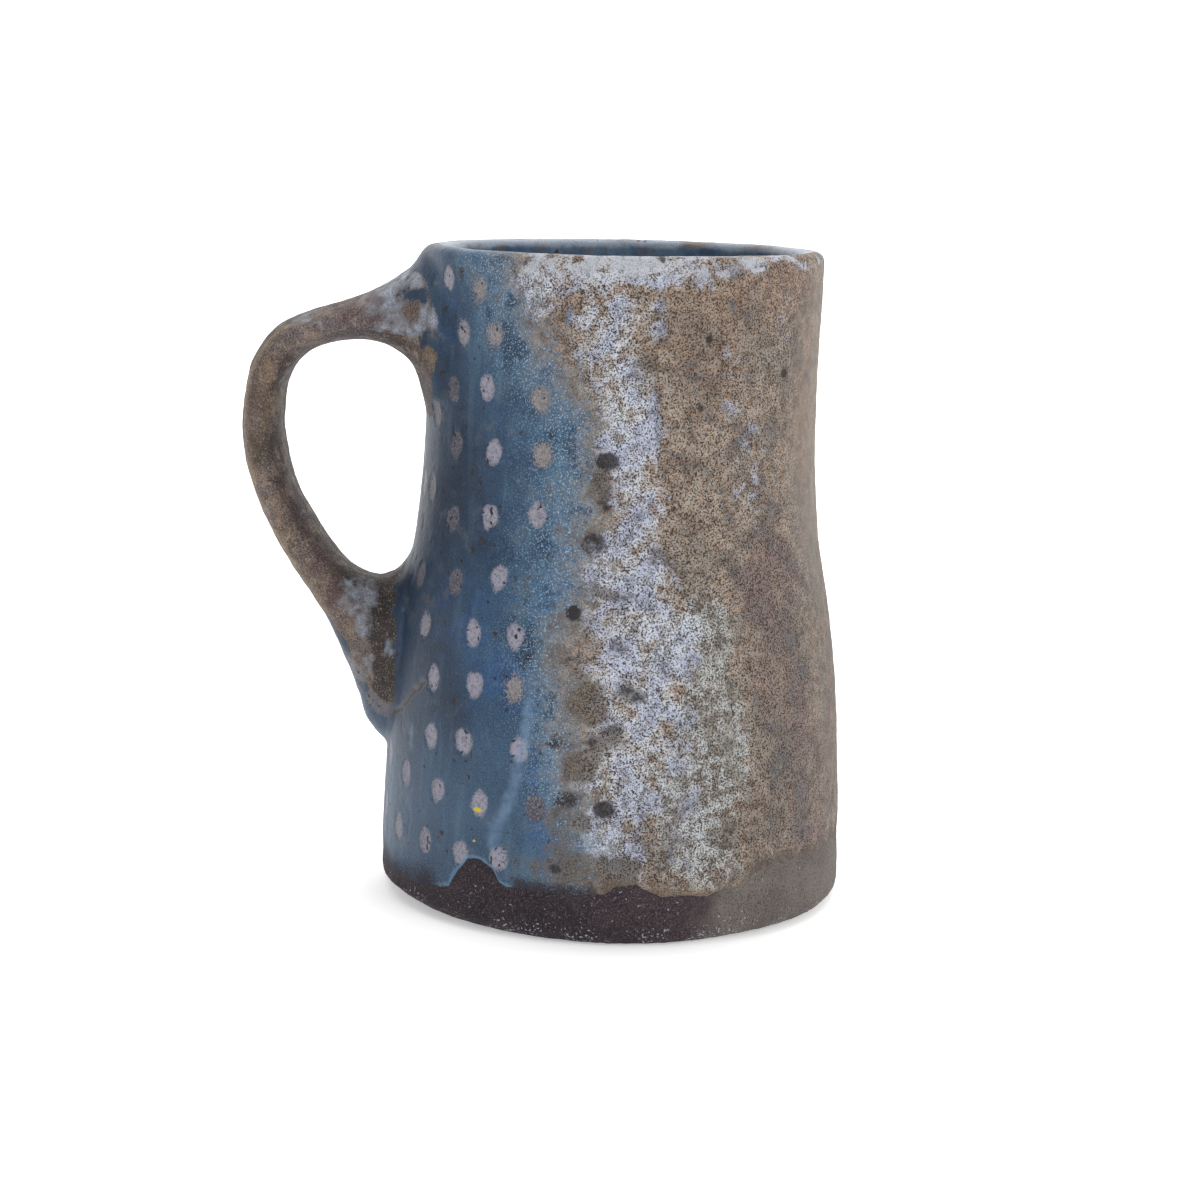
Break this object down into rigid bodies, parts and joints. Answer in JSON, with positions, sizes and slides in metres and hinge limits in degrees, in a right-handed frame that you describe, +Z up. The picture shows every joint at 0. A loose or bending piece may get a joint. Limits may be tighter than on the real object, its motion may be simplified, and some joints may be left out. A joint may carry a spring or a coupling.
{
  "type": "ceramic mug",
  "caption": "Tall hand-built stoneware mug with a drawn-in waist, a pulled strap handle on flared roots, and a dotted blue and ash glaze.",
  "frame": {"origin": "centre of the flat foot that the mug stands on", "axes": "+Z up along the mug's axis, -X towards the handle, +Y to the back with the handle on the left"},
  "size_m": [0.1036, 0.0792, 0.11],
  "materials": {
    "bare_clay": "fired, unglazed, rough",
    "handle_glaze": "satin, granular",
    "liner_glaze": "satin, streaked",
    "blue_glaze": "satin, with bare dots",
    "ash_glaze": "dry, crackled and granular"
  },
  "bodies": {
    "root": {"body_floor": "bare_clay", "body_wall": "bare_clay", "seam_coil": "bare_clay", "handle_upper_root": "handle_glaze", "handle_strap": "handle_glaze", "handle_lower_root": "handle_glaze", "liner_glaze": "liner_glaze", "outer_glaze_blue": "blue_glaze", "outer_glaze_ash": "ash_glaze"}
  },
  "joints": []
}
